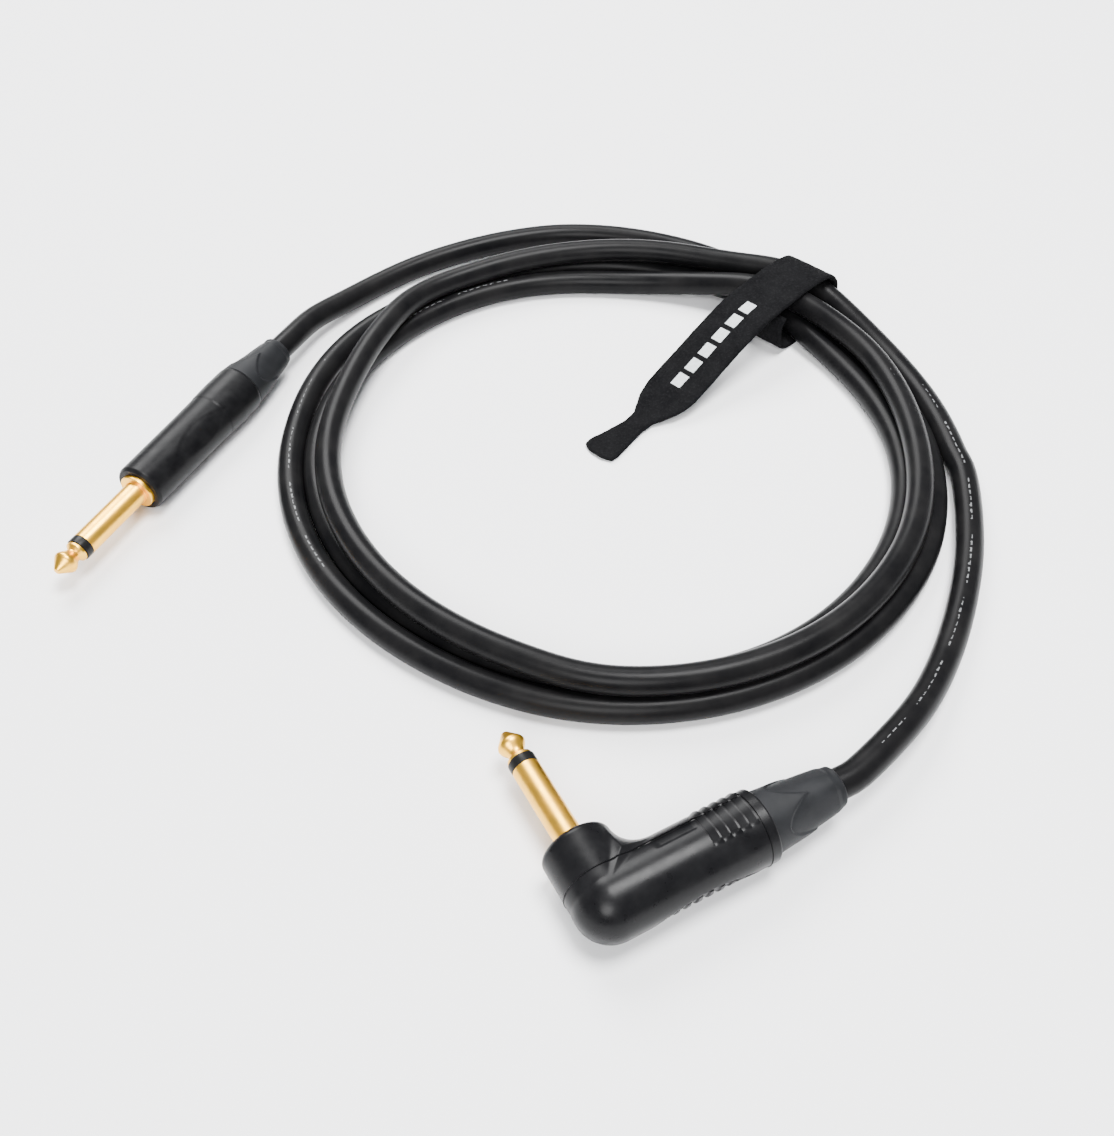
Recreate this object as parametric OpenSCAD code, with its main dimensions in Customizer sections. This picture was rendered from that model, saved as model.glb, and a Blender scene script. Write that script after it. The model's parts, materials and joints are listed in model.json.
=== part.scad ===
// Coiled instrument cable with a straight and a right-angle 6.35 mm jack plug,
// held by a hook-and-loop strap. Millimetres, +Z up, the coil lies on z = 0.
// The origin is the bottom centre of the box round the two plugs and the strap.

/* [Cable] */
// Diameter of the cable's outer jacket
cable_d = 7; // [6:0.1:7.2]
// Diameter of the insulated inner conductor
core_d = 2.4; // [2:0.1:3]
// Diameter of the twisted shield wires
shield_d = 1.6; // [1:0.1:1.8]

/* [Coil] */
// Inner radius of the coil of cable
coil_inner_r = 72; // [70:0.5:74]
// Outer radius of the coil of cable
coil_outer_r = 96; // [94:0.5:98]
// Height of the coil, two layers of cable
coil_h = 14; // [13:0.1:14]

/* [Jack contacts] */
// Diameter of the jack's sleeve and of its tip's ball
jack_d = 6.35; // [6.3:0.01:6.4]
// Length from the tip's end to the shoulder
jack_l = 31; // [30.5:0.1:31.5]
// Distance from the tip's end to the insulating ring
ring_at = 8; // [7.8:0.1:8.2]
// Width of the insulating ring
ring_w = 2.2; // [2:0.1:2.4]
// Diameter of the shoulder flange
flange_d = 9.7; // [9.5:0.1:9.8]
// Thickness of the shoulder flange
flange_t = 2.4; // [2:0.1:2.6]

/* [Straight plug] */
// Where the shell's rear face is, from the tip's end
shell_end = 77.5; // [76:0.5:80]
// Largest diameter of the shell
shell_d = 14.5; // [14.3:0.1:15]

/* [Right-angle plug] */
// Diameter of the body that lies along the cable
body_d = 16; // [15.8:0.1:16.4]
// Diameter of the head round the contacts
head_d = 15.6; // [15.4:0.1:15.7]
// Distance from the body's axis to the head's face
head_l = 14.7; // [14:0.1:16]
// Distance from the contacts' axis to the body's rear face
body_l = 35.4; // [34:0.1:37]
// Distance from the body's axis to the seam between housing and cover
seam_at = 4.5; // [4:0.1:5]

/* [Boots] */
// Length of a boot
boot_l = 19; // [18:0.5:20]
// Diameter of a boot at the plug
boot_d = 14.1; // [14:0.1:14.3]
// Diameter of a boot where the cable leaves it
boot_end_d = 9; // [8.6:0.1:9.4]
// Outer diameter of the threaded ring that screws into the plug
thread_d = 12; // [11.8:0.1:12]

/* [Strap] */
// Width of the strap
strap_w = 16.5; // [15:0.5:18]
// Thickness of the strap
strap_t = 1.8; // [1.5:0.1:1.8]

/* [Hidden] */
$fn = 64;

// Colours
gold = "gold";
tin = "silver";
copper = "peru";
black = [0.07, 0.07, 0.08];
grey_black = [0.15, 0.15, 0.16];
white = "whitesmoke";

// Clearances
fit = 0.05;       // between two round pieces that slide or turn on each other
cable_fit = 0.15; // between the cable and a boot that slides along it
gap = 0.1;        // between two faces that don't touch

// Where things lie
cable_r = cable_d / 2;
straight_tip_end = [-107, -9, shell_d / 2];
straight_dir = 63;
angle_corner = [25, -103.4, body_d / 2];
angle_dir = 27;
coil_centre = [34, 34, 0];
strap_dir = 44;
strap_at = [91.7, 95.1, 0];

// Contacts, counted from the tip's end
jack_r = jack_d / 2;
flange_r = flange_d / 2;
rod_r = 1.4;
nose_r = 0.8;
ball_at = 3.4;
neck_at = 6.4;
neck_r = 1.9;
collar_l = 0.7;
collar_r = 2.9;
ring_end = ring_at + ring_w;
barrel_at = jack_l + flange_t;
barrel_end = barrel_at + 6.6;
barrel_r = 5.5;
liner_r = 1.95;
lug_t = 0.8;
ground_at = barrel_end + gap;
disc_at = ground_at + lug_t + gap;
disc_t = 1.5;
disc_r = 4.6;
tip_lug_at = disc_at + disc_t + gap;
rod_end = tip_lug_at + lug_t + 0.6;

// Gland, counted from the plug's rear face, with the cable leaving along +X
jacket_end = -17.5;
chuck_end = -3;
chuck_r = 4.6;
thread_l = 10;
thread_r = thread_d / 2;
neck_l = 5.5;
boot_neck_r = 5.2;
neck_bore_r = 4.2;

// The cable between the plugs and the coil: points on its middle line
straight_route = [[-54.5, 94.5, 6], [-46, 105, 4.6], [-37.5, 114, 3.7], [-27, 122.5, 3.5], [-14, 130, 3.5],
    [3, 136.5, 3.5], [21, 139.5, 3.5], [39, 137.5, 3.5], [56, 131.5, 3.5], [71, 122.5, 3.5], [83, 112, 3.5]];
angle_route = [[87.5, -67.6, 7.4], [96.5, -57.5, 6.2], [104.5, -45.5, 4.8], [112, -31, 3.8], [119, -13, 3.5],
    [123.5, 5, 3.5], [125.5, 20, 3.5]];
tube_sides = 12;

// Strap, counted from the middle of the coil's section, outwards along +X
loop_half = 13.5;
loop_corner_r = 4;
loop_top = coil_h + 0.2;
tail_line = [[-15.6, 15.1], [-24, 14.2], [-34, 11.6], [-46, 7.2], [-58, 3.2], [-68, 1.2], [-86.5, 0.95]];
tail_half_widths = [[-15.6, 8.2], [-57, 8.2], [-62, 6.8], [-68, 3.6], [-72, 3.3], [-78, 4.2], [-83, 5.4],
    [-85.5, 4.6], [-86.5, 2.5]];

// ---- Helpers ----

module at_straight() {
    translate(straight_tip_end) rotate([0, 0, straight_dir]) children();
}

module at_angle() {
    translate(angle_corner) rotate([0, 0, angle_dir]) children();
}

// The contacts of the right-angle plug point along its own +Y
module at_finger() {
    at_angle() translate([0, head_l + jack_l, 0]) rotate([0, 0, -90]) children();
}

module at_straight_gland() {
    at_straight() translate([shell_end, 0, 0]) children();
}

module at_angle_gland() {
    at_angle() translate([body_l, 0, 0]) children();
}

module at_strap() {
    translate(strap_at) rotate([0, 0, strap_dir]) children();
}

// Turns an outline of [distance along the axis, radius] points about the X axis
module lathe(outline) {
    rotate([90, 0, 90]) rotate_extrude() polygon([for (p = outline) [p[1], p[0]]]);
}

// Tube along the X axis from x0 to x1
module pipe(x0, x1, outer_r, inner_r) {
    lathe([[x0, inner_r], [x1, inner_r], [x1, outer_r], [x0, outer_r]]);
}

// Solid bar along the X axis from x0 to x1
module rod(x0, x1, r) {
    translate([x0, 0, 0]) rotate([0, 90, 0]) cylinder(r = r, h = x1 - x0);
}

// Flat plate given by its two opposite corners
module plate(low, high) {
    translate(low) cube(high - low);
}

// A bar with round ends between two points of the plane
module round_bar(a, b, r) {
    d = b - a;
    translate(a) circle(r = r);
    translate(b) circle(r = r);
    translate(a) rotate(atan2(d[1], d[0])) translate([0, -r]) square([norm(d), 2 * r]);
}

module rounded_box(low, high, r) {
    translate(low + [r, 0]) square([high[0] - low[0] - 2 * r, high[1] - low[1]]);
    translate(low + [0, r]) square([high[0] - low[0], high[1] - low[1] - 2 * r]);
    for (x = [low[0] + r, high[0] - r], y = [low[1] + r, high[1] - r]) translate([x, y]) circle(r = r);
}

function unit(v) = v / norm(v);

function straight_point(s) =
    straight_tip_end + s * [cos(straight_dir), sin(straight_dir), 0];

function angle_point(t) =
    angle_corner + t * [cos(angle_dir), sin(angle_dir), 0];

// Direction of a route at its point i
function heading(route, i) =
    unit(route[min(i + 1, len(route) - 1)] - route[max(i - 1, 0)]);

// The ring of corners round a route's point i
function ring_at_point(route, i) =
    let (ahead = heading(route, i), side = unit(cross(ahead, [0, 0, 1])), up = cross(side, ahead))
    [for (k = [0:tube_sides - 1])
        route[i] + cable_r * (cos(360 * k / tube_sides) * side + sin(360 * k / tube_sides) * up)];

// Cable along a route of points, closed at both ends
module cable_tube(route) {
    rings = len(route);
    n = tube_sides;
    corners = [for (i = [0:rings - 1]) each ring_at_point(route, i)];
    sides = [for (i = [0:rings - 2], k = [0:n - 1]) each [
        [i * n + k, i * n + (k + 1) % n, (i + 1) * n + (k + 1) % n],
        [i * n + k, (i + 1) * n + (k + 1) % n, (i + 1) * n + k]]];
    start = [for (k = [n - 1:-1:0]) k];
    finish = [for (k = [0:n - 1]) (rings - 1) * n + k];
    polyhedron(corners, concat(sides, [start, finish]));
}

// ---- Contacts, shared by both plugs: the tip's end at x = 0 ----

// The ball's back slope runs from the ball down to the neck as half a cosine wave
function ball_back() =
    [for (i = [0:8]) let (f = i / 8)
        [ball_at + f * (neck_at - ball_at), (jack_r + neck_r) / 2 + (jack_r - neck_r) / 2 * cos(180 * f)]];

module tip_contact() {
    color(gold) lathe(concat(
        [[0, 0], [0, nose_r], [0.4, nose_r + 0.3], [ball_at - 0.6, jack_r - 0.25]],
        ball_back(),
        [[ring_at - collar_l, collar_r], [ring_at, collar_r], [ring_at, rod_r], [rod_end, rod_r], [rod_end, 0]]));
}

module tip_ring() {
    color(black) pipe(ring_at + fit, ring_end, jack_r, rod_r + fit);
}

module jack_sleeve() {
    color(gold) lathe([[ring_end + fit, liner_r + fit], [ring_end + fit, jack_r], [jack_l, jack_r],
        [jack_l, flange_r - 0.3], [jack_l + 0.3, flange_r], [barrel_at, flange_r], [barrel_at, barrel_r],
        [barrel_end, barrel_r], [barrel_end, liner_r + fit]]);
}

module jack_insulator() {
    color(white) lathe([[ring_end + fit, rod_r + fit], [ring_end + fit, liner_r], [disc_at, liner_r],
        [disc_at, disc_r], [disc_at + disc_t, disc_r], [disc_at + disc_t, rod_r + fit]]);
}

// A solder lug: a washer round the contact with a tail that takes the wire
module lug(at, hole_r, rim_r) {
    color(tin) difference() {
        union() {
            rod(at, at + lug_t, rim_r);
            children();
        }
        rod(at - 1, at + lug_t + 1, hole_r);
    }
}

// ---- Gland, shared by both plugs: the plug's rear face at x = 0 ----

// The collet that grips the jacket, with four slots in its front
module chuck() {
    color(grey_black) difference() {
        lathe([[jacket_end, cable_r + fit], [jacket_end, chuck_r - 0.6], [jacket_end + 2, chuck_r],
            [chuck_end, chuck_r], [chuck_end, cable_r + fit]]);
        for (turn = [0, 90])
            rotate([turn, 0, 0]) plate([jacket_end - 1, -0.5, -chuck_r - 1], [-9, 0.5, chuck_r + 1]);
    }
}

// The ring that screws into the plug, with the neck that the boot turns on
module boot_ring() {
    color(black) lathe([[-thread_l, chuck_r + gap], [-thread_l, thread_r - 0.4], [0.4 - thread_l, thread_r],
        [-gap, thread_r], [-gap, boot_neck_r], [neck_l, boot_neck_r], [neck_l, neck_bore_r],
        [0, neck_bore_r], [0, chuck_r + gap]]);
}

module boot() {
    bore_r = cable_r + cable_fit;
    boot_r = boot_d / 2;
    end_r = boot_end_d / 2;
    color(grey_black) lathe([[gap, boot_neck_r + fit], [gap, boot_r], [3, boot_r - 0.4], [8, boot_r - 0.9],
        [13, boot_r - 1.6], [boot_l - 1.6, end_r + 0.3], [boot_l - 1.5, end_r], [boot_l, end_r],
        [boot_l, bore_r], [neck_l + gap, bore_r], [neck_l + gap, boot_neck_r + fit]]);
}

// The insulated conductor, stripped out of the jacket
module core(free_l) {
    color(white) rod(jacket_end - free_l, jacket_end, core_d / 2);
}

// The shield wires, twisted together beside the conductor
module shield(free_l) {
    color(copper) translate([0, (core_d + shield_d) / 2 + gap, 0])
        rod(jacket_end - free_l, jacket_end, shield_d / 2);
}

// ---- Straight plug ----

module straight_tip() {
    at_straight() tip_contact();
}

module straight_tip_ring() {
    at_straight() tip_ring();
}

module straight_sleeve() {
    at_straight() jack_sleeve();
}

module straight_insulator() {
    at_straight() jack_insulator();
}

module straight_tip_lug() {
    tail_y = -2.4;
    at_straight() lug(tip_lug_at, rod_r + fit, 2.4)
        plate([tip_lug_at, tail_y, -1.2], [tip_lug_at + 8, tail_y + lug_t, 1.2]);
}

module straight_ground_lug() {
    at_straight() lug(ground_at, liner_r + fit, 5.2)
        plate([ground_at, 4.8, -1.5], [ground_at + 13, 4.8 + lug_t, 1.5]);
}

module straight_shell() {
    mouth_r = 5.9;
    mouth_at = jack_l + 1.1;
    front_r = 6.7;
    rear_r = shell_d / 2;
    inner_r = 5.9;
    thread_at = shell_end - thread_l - 1;
    color(black) at_straight() lathe([[mouth_at, flange_r + fit], [mouth_at, mouth_r],
        [mouth_at + 0.4, front_r - 0.3], [mouth_at + 1.2, front_r], [58, front_r + 0.15],
        [63.8, front_r + 0.25], [64.2, front_r + 0.35], [70, rear_r], [shell_end - 0.5, rear_r - 0.05],
        [shell_end, rear_r - 0.25], [shell_end, thread_r + fit], [thread_at, thread_r + fit],
        [thread_at, inner_r], [barrel_end, inner_r], [barrel_end, barrel_r + fit],
        [barrel_at - gap, barrel_r + fit], [barrel_at - gap, flange_r + fit]]);
}

module straight_chuck() {
    at_straight_gland() chuck();
}

module straight_core() {
    at_straight_gland() core(9);
}

module straight_shield() {
    at_straight_gland() shield(8);
}

module straight_boot_ring() {
    at_straight_gland() boot_ring();
}

module straight_boot() {
    at_straight_gland() boot();
}

// ---- Right-angle plug ----

module angle_tip() {
    at_finger() tip_contact();
}

module angle_tip_ring() {
    at_finger() tip_ring();
}

module angle_sleeve() {
    at_finger() jack_sleeve();
}

module angle_insulator() {
    at_finger() jack_insulator();
}

module angle_tip_lug() {
    at_finger() lug(tip_lug_at, rod_r + fit, 2.4)
        plate([tip_lug_at, 0, -1.2], [tip_lug_at + lug_t, 8.5, 1.2]);
}

module angle_ground_lug() {
    at_finger() lug(ground_at, liner_r + fit, 5.2)
        plate([ground_at, 0, -1.5], [ground_at + lug_t, 10, 1.5]);
}

// Outside of the right-angle plug: a domed head with the body leaving its side
module angle_outside() {
    head_r = head_d / 2;
    body_r = body_d / 2;
    dome = [for (turn = [0:10:90]) [-head_r * cos(turn), head_r * sin(turn)]];
    rotate([0, 0, 90]) lathe(concat(dome, [[head_l - 0.6, head_r], [head_l, head_r - 0.6], [head_l, 0]]));
    lathe([[0, 0], [0, head_r - 0.1], [3, body_r], [body_l, body_r], [body_l, 0]]);
}

// Room inside the right-angle plug
module angle_inside() {
    room_r = 6.3;
    rod(-3, body_l - thread_l - 1, room_r);
    rod(0, body_l + 1, thread_r + fit);
    rotate([0, 0, 90]) rod(0, head_l - flange_t, barrel_r + fit);
    rotate([0, 0, 90]) rod(0, head_l + 1, flange_r + fit);
}

collar_at = body_l - 2.4;

module angle_housing() {
    reach = 50;
    color(black) at_angle() difference() {
        intersection() {
            angle_outside();
            union() {
                plate([-reach, seam_at, -reach], [reach, reach, reach]);
                plate([collar_at, -reach, -reach], [reach, reach, reach]);
            }
        }
        angle_inside();
    }
}

module angle_cover() {
    reach = 50;
    color(black) at_angle() difference() {
        intersection() {
            angle_outside();
            plate([-reach, -reach, -reach], [collar_at - gap, seam_at - gap, reach]);
        }
        angle_inside();
    }
}

module angle_chuck() {
    at_angle_gland() chuck();
}

module angle_core() {
    at_angle_gland() core(8);
}

module angle_shield() {
    at_angle_gland() shield(7);
}

module angle_boot_ring() {
    at_angle_gland() boot_ring();
}

module angle_boot() {
    at_angle_gland() boot();
}

// ---- Cable ----

straight_run = shell_end + boot_l + 6;
angle_run = body_l + boot_l + 5;

module cable_lead_straight() {
    color(grey_black) cable_tube(concat(
        [straight_point(shell_end + jacket_end), straight_point(straight_run - 3), straight_point(straight_run)],
        straight_route));
}

module cable_lead_angle() {
    color(grey_black) cable_tube(concat(
        [angle_point(body_l + jacket_end), angle_point(angle_run - 2), angle_point(angle_run)],
        angle_route));
}

// The section of the coil: three strands side by side, with others on them
module coil_section() {
    r = cable_r;
    low_in = [coil_inner_r + r, r];
    low_out = [coil_outer_r - r, r];
    top_in = [coil_inner_r + r + 1.5, coil_h - r];
    top_out = [coil_outer_r - r - 3, coil_h - r];
    round_bar(low_in, low_out, r);
    round_bar(low_out, top_out, r);
    round_bar(top_out, top_in, r);
    round_bar(top_in, low_in, r);
    polygon([low_in, low_out, top_out, top_in]);
}

module cable_coil() {
    side = loop_half + 4;
    half_w = strap_w / 2 + 0.5;
    color(grey_black) difference() {
        translate(coil_centre) rotate_extrude($fn = 120) coil_section();
        at_strap() plate([-side, -half_w, -1], [side, half_w, strap_t + 0.2]);
    }
}

// ---- Strap ----

module strap_loop() {
    outer_half = loop_half + strap_t;
    color(black) at_strap() translate([0, strap_w / 2, 0]) rotate([90, 0, 0])
        linear_extrude(strap_w) difference() {
            rounded_box([-outer_half, 0], [outer_half, loop_top + strap_t], loop_corner_r);
            rounded_box([-loop_half, strap_t], [loop_half, loop_top], loop_corner_r - strap_t);
        }
}

module strap_tail() {
    n = len(tail_line);
    upper = [for (p = tail_line) p + [0, strap_t / 2]];
    lower = [for (i = [n - 1:-1:0]) tail_line[i] - [0, strap_t / 2]];
    m = len(tail_half_widths);
    left = tail_half_widths;
    right = [for (i = [m - 1:-1:0]) [left[i][0], -left[i][1]]];
    color(black) at_strap() intersection() {
        linear_extrude(30) polygon(concat(left, right));
        translate([0, strap_w, 0]) rotate([90, 0, 0]) linear_extrude(2 * strap_w) polygon(concat(upper, lower));
    }
}

straight_tip();
straight_tip_ring();
straight_sleeve();
straight_insulator();
straight_tip_lug();
straight_ground_lug();
straight_shell();
straight_chuck();
straight_core();
straight_shield();
straight_boot_ring();
straight_boot();
angle_tip();
angle_tip_ring();
angle_sleeve();
angle_insulator();
angle_tip_lug();
angle_ground_lug();
angle_housing();
angle_cover();
angle_chuck();
angle_core();
angle_shield();
angle_boot_ring();
angle_boot();
cable_lead_straight();
cable_coil();
cable_lead_angle();
strap_loop();
strap_tail();
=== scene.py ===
"""Looks of the coiled instrument cable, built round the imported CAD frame. Metres, +Z up."""

import json
import math

import bmesh
import bpy
import numpy as np
from mathutils import Matrix, Vector, noise


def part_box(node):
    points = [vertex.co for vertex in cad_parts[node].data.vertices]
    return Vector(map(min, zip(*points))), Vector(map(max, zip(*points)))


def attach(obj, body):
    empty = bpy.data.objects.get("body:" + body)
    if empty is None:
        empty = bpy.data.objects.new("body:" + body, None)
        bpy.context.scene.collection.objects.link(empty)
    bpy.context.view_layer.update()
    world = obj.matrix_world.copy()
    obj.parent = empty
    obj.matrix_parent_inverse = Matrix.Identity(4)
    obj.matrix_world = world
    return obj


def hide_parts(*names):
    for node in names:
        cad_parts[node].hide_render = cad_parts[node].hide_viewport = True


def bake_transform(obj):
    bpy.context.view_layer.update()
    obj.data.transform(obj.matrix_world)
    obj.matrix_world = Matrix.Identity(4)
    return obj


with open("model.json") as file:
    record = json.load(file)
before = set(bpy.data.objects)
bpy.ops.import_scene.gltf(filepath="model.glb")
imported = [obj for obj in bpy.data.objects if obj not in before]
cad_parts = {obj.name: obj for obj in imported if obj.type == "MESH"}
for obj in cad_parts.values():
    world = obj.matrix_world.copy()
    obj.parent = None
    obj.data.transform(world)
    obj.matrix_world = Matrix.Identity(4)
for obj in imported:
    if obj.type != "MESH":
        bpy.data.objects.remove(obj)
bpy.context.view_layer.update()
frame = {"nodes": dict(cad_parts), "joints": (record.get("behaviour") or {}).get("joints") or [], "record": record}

MM = 0.001
TAU = 2 * math.pi

# Sizes that part.scad fixes, in millimetres
CABLE_R = 3.5
JACK_L = 31.0
JACK_R = 3.175
RING_AT = 8.0
RING_END = 10.2
SHELL_END = 77.5
HEAD_L = 14.7
BODY_L = 35.4
BOOT_L = 19.0
LOOP_OUTER = 15.3
LOOP_TOP = 16.0

# ---- Where things lie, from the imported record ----

mounts = {m["name"]: m for m in frame["record"]["mounts"]}
joints = {j["name"]: j for j in frame["joints"]}


def flat_axes(x_axis):
    """Rotation whose X is the given level direction and whose Z is up."""
    x_axis = Vector(x_axis).normalized()
    up = Vector((0, 0, 1))
    return Matrix((x_axis, up.cross(x_axis), up)).transposed()


def place(origin, rotation):
    """Matrix that takes millimetres about an origin to the frame's metres."""
    return Matrix.Translation(origin) @ rotation.to_4x4() @ Matrix.Scale(MM, 4)


def tip_end(mount):
    """Where the contact's tip ends, in metres, and the direction in which it points."""
    axis = Vector(mount["axis"])
    middle = JACK_L - mount["dims"]["length_mm"] / 2
    return Vector(mount["pos_m"]) + axis * middle * MM, axis


straight_tip, straight_out = tip_end(mounts["straight_jack"])
angle_tip, angle_out = tip_end(mounts["angle_jack"])
straight_hinge = joints["straight_boot_turn"]
angle_hinge = joints["angle_boot_turn"]

AT_STRAIGHT = place(straight_tip, flat_axes(-straight_out))
AT_FINGER = place(angle_tip, flat_axes(-angle_out))
AT_STRAIGHT_GLAND = place(straight_hinge["pos_m"], flat_axes(straight_hinge["axis"]))
AT_ANGLE_GLAND = place(angle_hinge["pos_m"], flat_axes(angle_hinge["axis"]))
AT_ANGLE = place(angle_tip - angle_out * (HEAD_L + JACK_L) * MM, flat_axes(angle_hinge["axis"]))

strap_hinge = joints["strap_lift"]
strap_axes = flat_axes(Vector(strap_hinge["axis"]).cross(Vector((0, 0, 1))))
strap_middle = Vector(strap_hinge["pos_m"]) + strap_axes @ Vector((LOOP_OUTER, 0, -LOOP_TOP)) * MM
AT_STRAP = place(strap_middle, strap_axes)

coil_low, coil_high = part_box("cable_coil")
coil_centre = (coil_low + coil_high) / 2 / MM

# ---- Camera ----

# The point on the floor that it looks at, and its distance from there, in metres
CAMERA_AIM = Vector((0.017, -0.007, 0))
CAMERA_DISTANCE = 0.31
# Up from looking straight down, and about its own line of sight
CAMERA_TILT = math.radians(42.48)
CAMERA_ROLL = math.radians(-2)

camera = bpy.data.objects.new("camera", bpy.data.cameras.new("camera"))
bpy.context.collection.objects.link(camera)
camera.location = CAMERA_AIM + CAMERA_DISTANCE * Vector((0, -math.sin(CAMERA_TILT), math.cos(CAMERA_TILT)))
camera.rotation_mode = "QUATERNION"
tilt = Matrix.Rotation(CAMERA_TILT, 4, "X")
roll = Matrix.Rotation(CAMERA_ROLL, 4, "Z")
camera.rotation_quaternion = (tilt @ roll).to_quaternion()
camera.data.lens = 38.79
camera.data.sensor_width = 36
camera.data.clip_start = 0.01
bpy.context.scene.camera = camera

# ---- Mesh helpers ----

# Edges at least this sharp stay sharp in the shading
SHARP_FROM = math.radians(40)


def mesh_object(name, vertices, faces, material, matrix=None):
    """Smooth-shaded mesh. With a matrix, the vertices are in its millimetres."""
    mesh = bpy.data.meshes.new(name)
    mesh.from_pydata([tuple(v) for v in vertices], [], [tuple(f) for f in faces])
    if matrix is not None:
        mesh.transform(matrix)
    return finished(name, mesh, material)


def finished(name, mesh, material):
    """Object of a mesh, smooth but for its sharp edges."""
    mesh.shade_smooth()
    mesh.set_sharp_from_angle(angle=SHARP_FROM)
    mesh.materials.append(material)
    mesh.update()
    made = bpy.data.objects.new(name, mesh)
    bpy.context.collection.objects.link(made)
    return made


def grid_faces(rows, columns, closed_rows=False, closed_columns=False):
    """Quads over a grid of points, row by row."""
    faces = []
    for i in range(rows if closed_rows else rows - 1):
        for j in range(columns if closed_columns else columns - 1):
            a = i * columns + j
            b = i * columns + (j + 1) % columns
            c = (i + 1) % rows * columns + (j + 1) % columns
            d = (i + 1) % rows * columns + j
            faces.append((a, b, c, d))
    return faces


def soften(outline, radius, steps=5):
    """Rounds each corner of an outline of (x, r) points. A third number is that corner's own radius."""
    nearly_straight = math.radians(179)
    points = [Vector(p[:2]) for p in outline]
    smooth = []
    count = len(points)
    for i, corner in enumerate(points):
        want = outline[i][2] if len(outline[i]) > 2 else radius
        before, after = points[i - 1], points[(i + 1) % count]
        to_before, to_after = before - corner, after - corner
        room = 0.45 * min(to_before.length, to_after.length)
        turn = to_before.angle(to_after, math.pi)
        cut = min(room, want / max(math.tan(turn / 2), 1e-3))
        if want <= 0 or turn > nearly_straight:
            smooth.append(corner)
            continue
        start = corner + to_before.normalized() * cut
        end = corner + to_after.normalized() * cut
        for k in range(steps + 1):
            f = k / steps
            smooth.append(start.lerp(corner, f).lerp(corner.lerp(end, f), f))
    return smooth


def lathe(name, outline, material, matrix, sides=96, shape=None):
    """Solid of revolution about X, from a closed outline of (x, r) points.

    shape(x, r, turn) gives the radius at one side of the outline's point.
    """
    vertices = []
    for x, r in outline:
        for k in range(sides):
            turn = TAU * k / sides
            radius = shape(x, r, turn) if shape else r
            vertices.append((x, radius * math.cos(turn), radius * math.sin(turn)))
    faces = grid_faces(len(outline), sides, closed_rows=True, closed_columns=True)
    return mesh_object(name, vertices, faces, material, matrix)


def dense(outline, step):
    """The same open outline with extra points, at most a step apart."""
    points = [Vector(outline[0])]
    for p in outline[1:]:
        start, end = points[-1], Vector(p)
        count = max(1, math.ceil((end - start).length / step))
        points += [start.lerp(end, (i + 1) / count) for i in range(count)]
    return points


def ease(value, low, high):
    """Goes smoothly from 0 at low to 1 at high."""
    f = np.clip((value - low) / (high - low), 0, 1)
    return f * f * (3 - 2 * f)


def add_piece(piece, body, slot, *nodes):
    """Puts a piece on its body and hides the CAD nodes that it stands for. The slot is not used."""
    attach(piece, body)
    if nodes:
        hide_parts(*nodes)
    return piece


# ---- Materials ----


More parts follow.
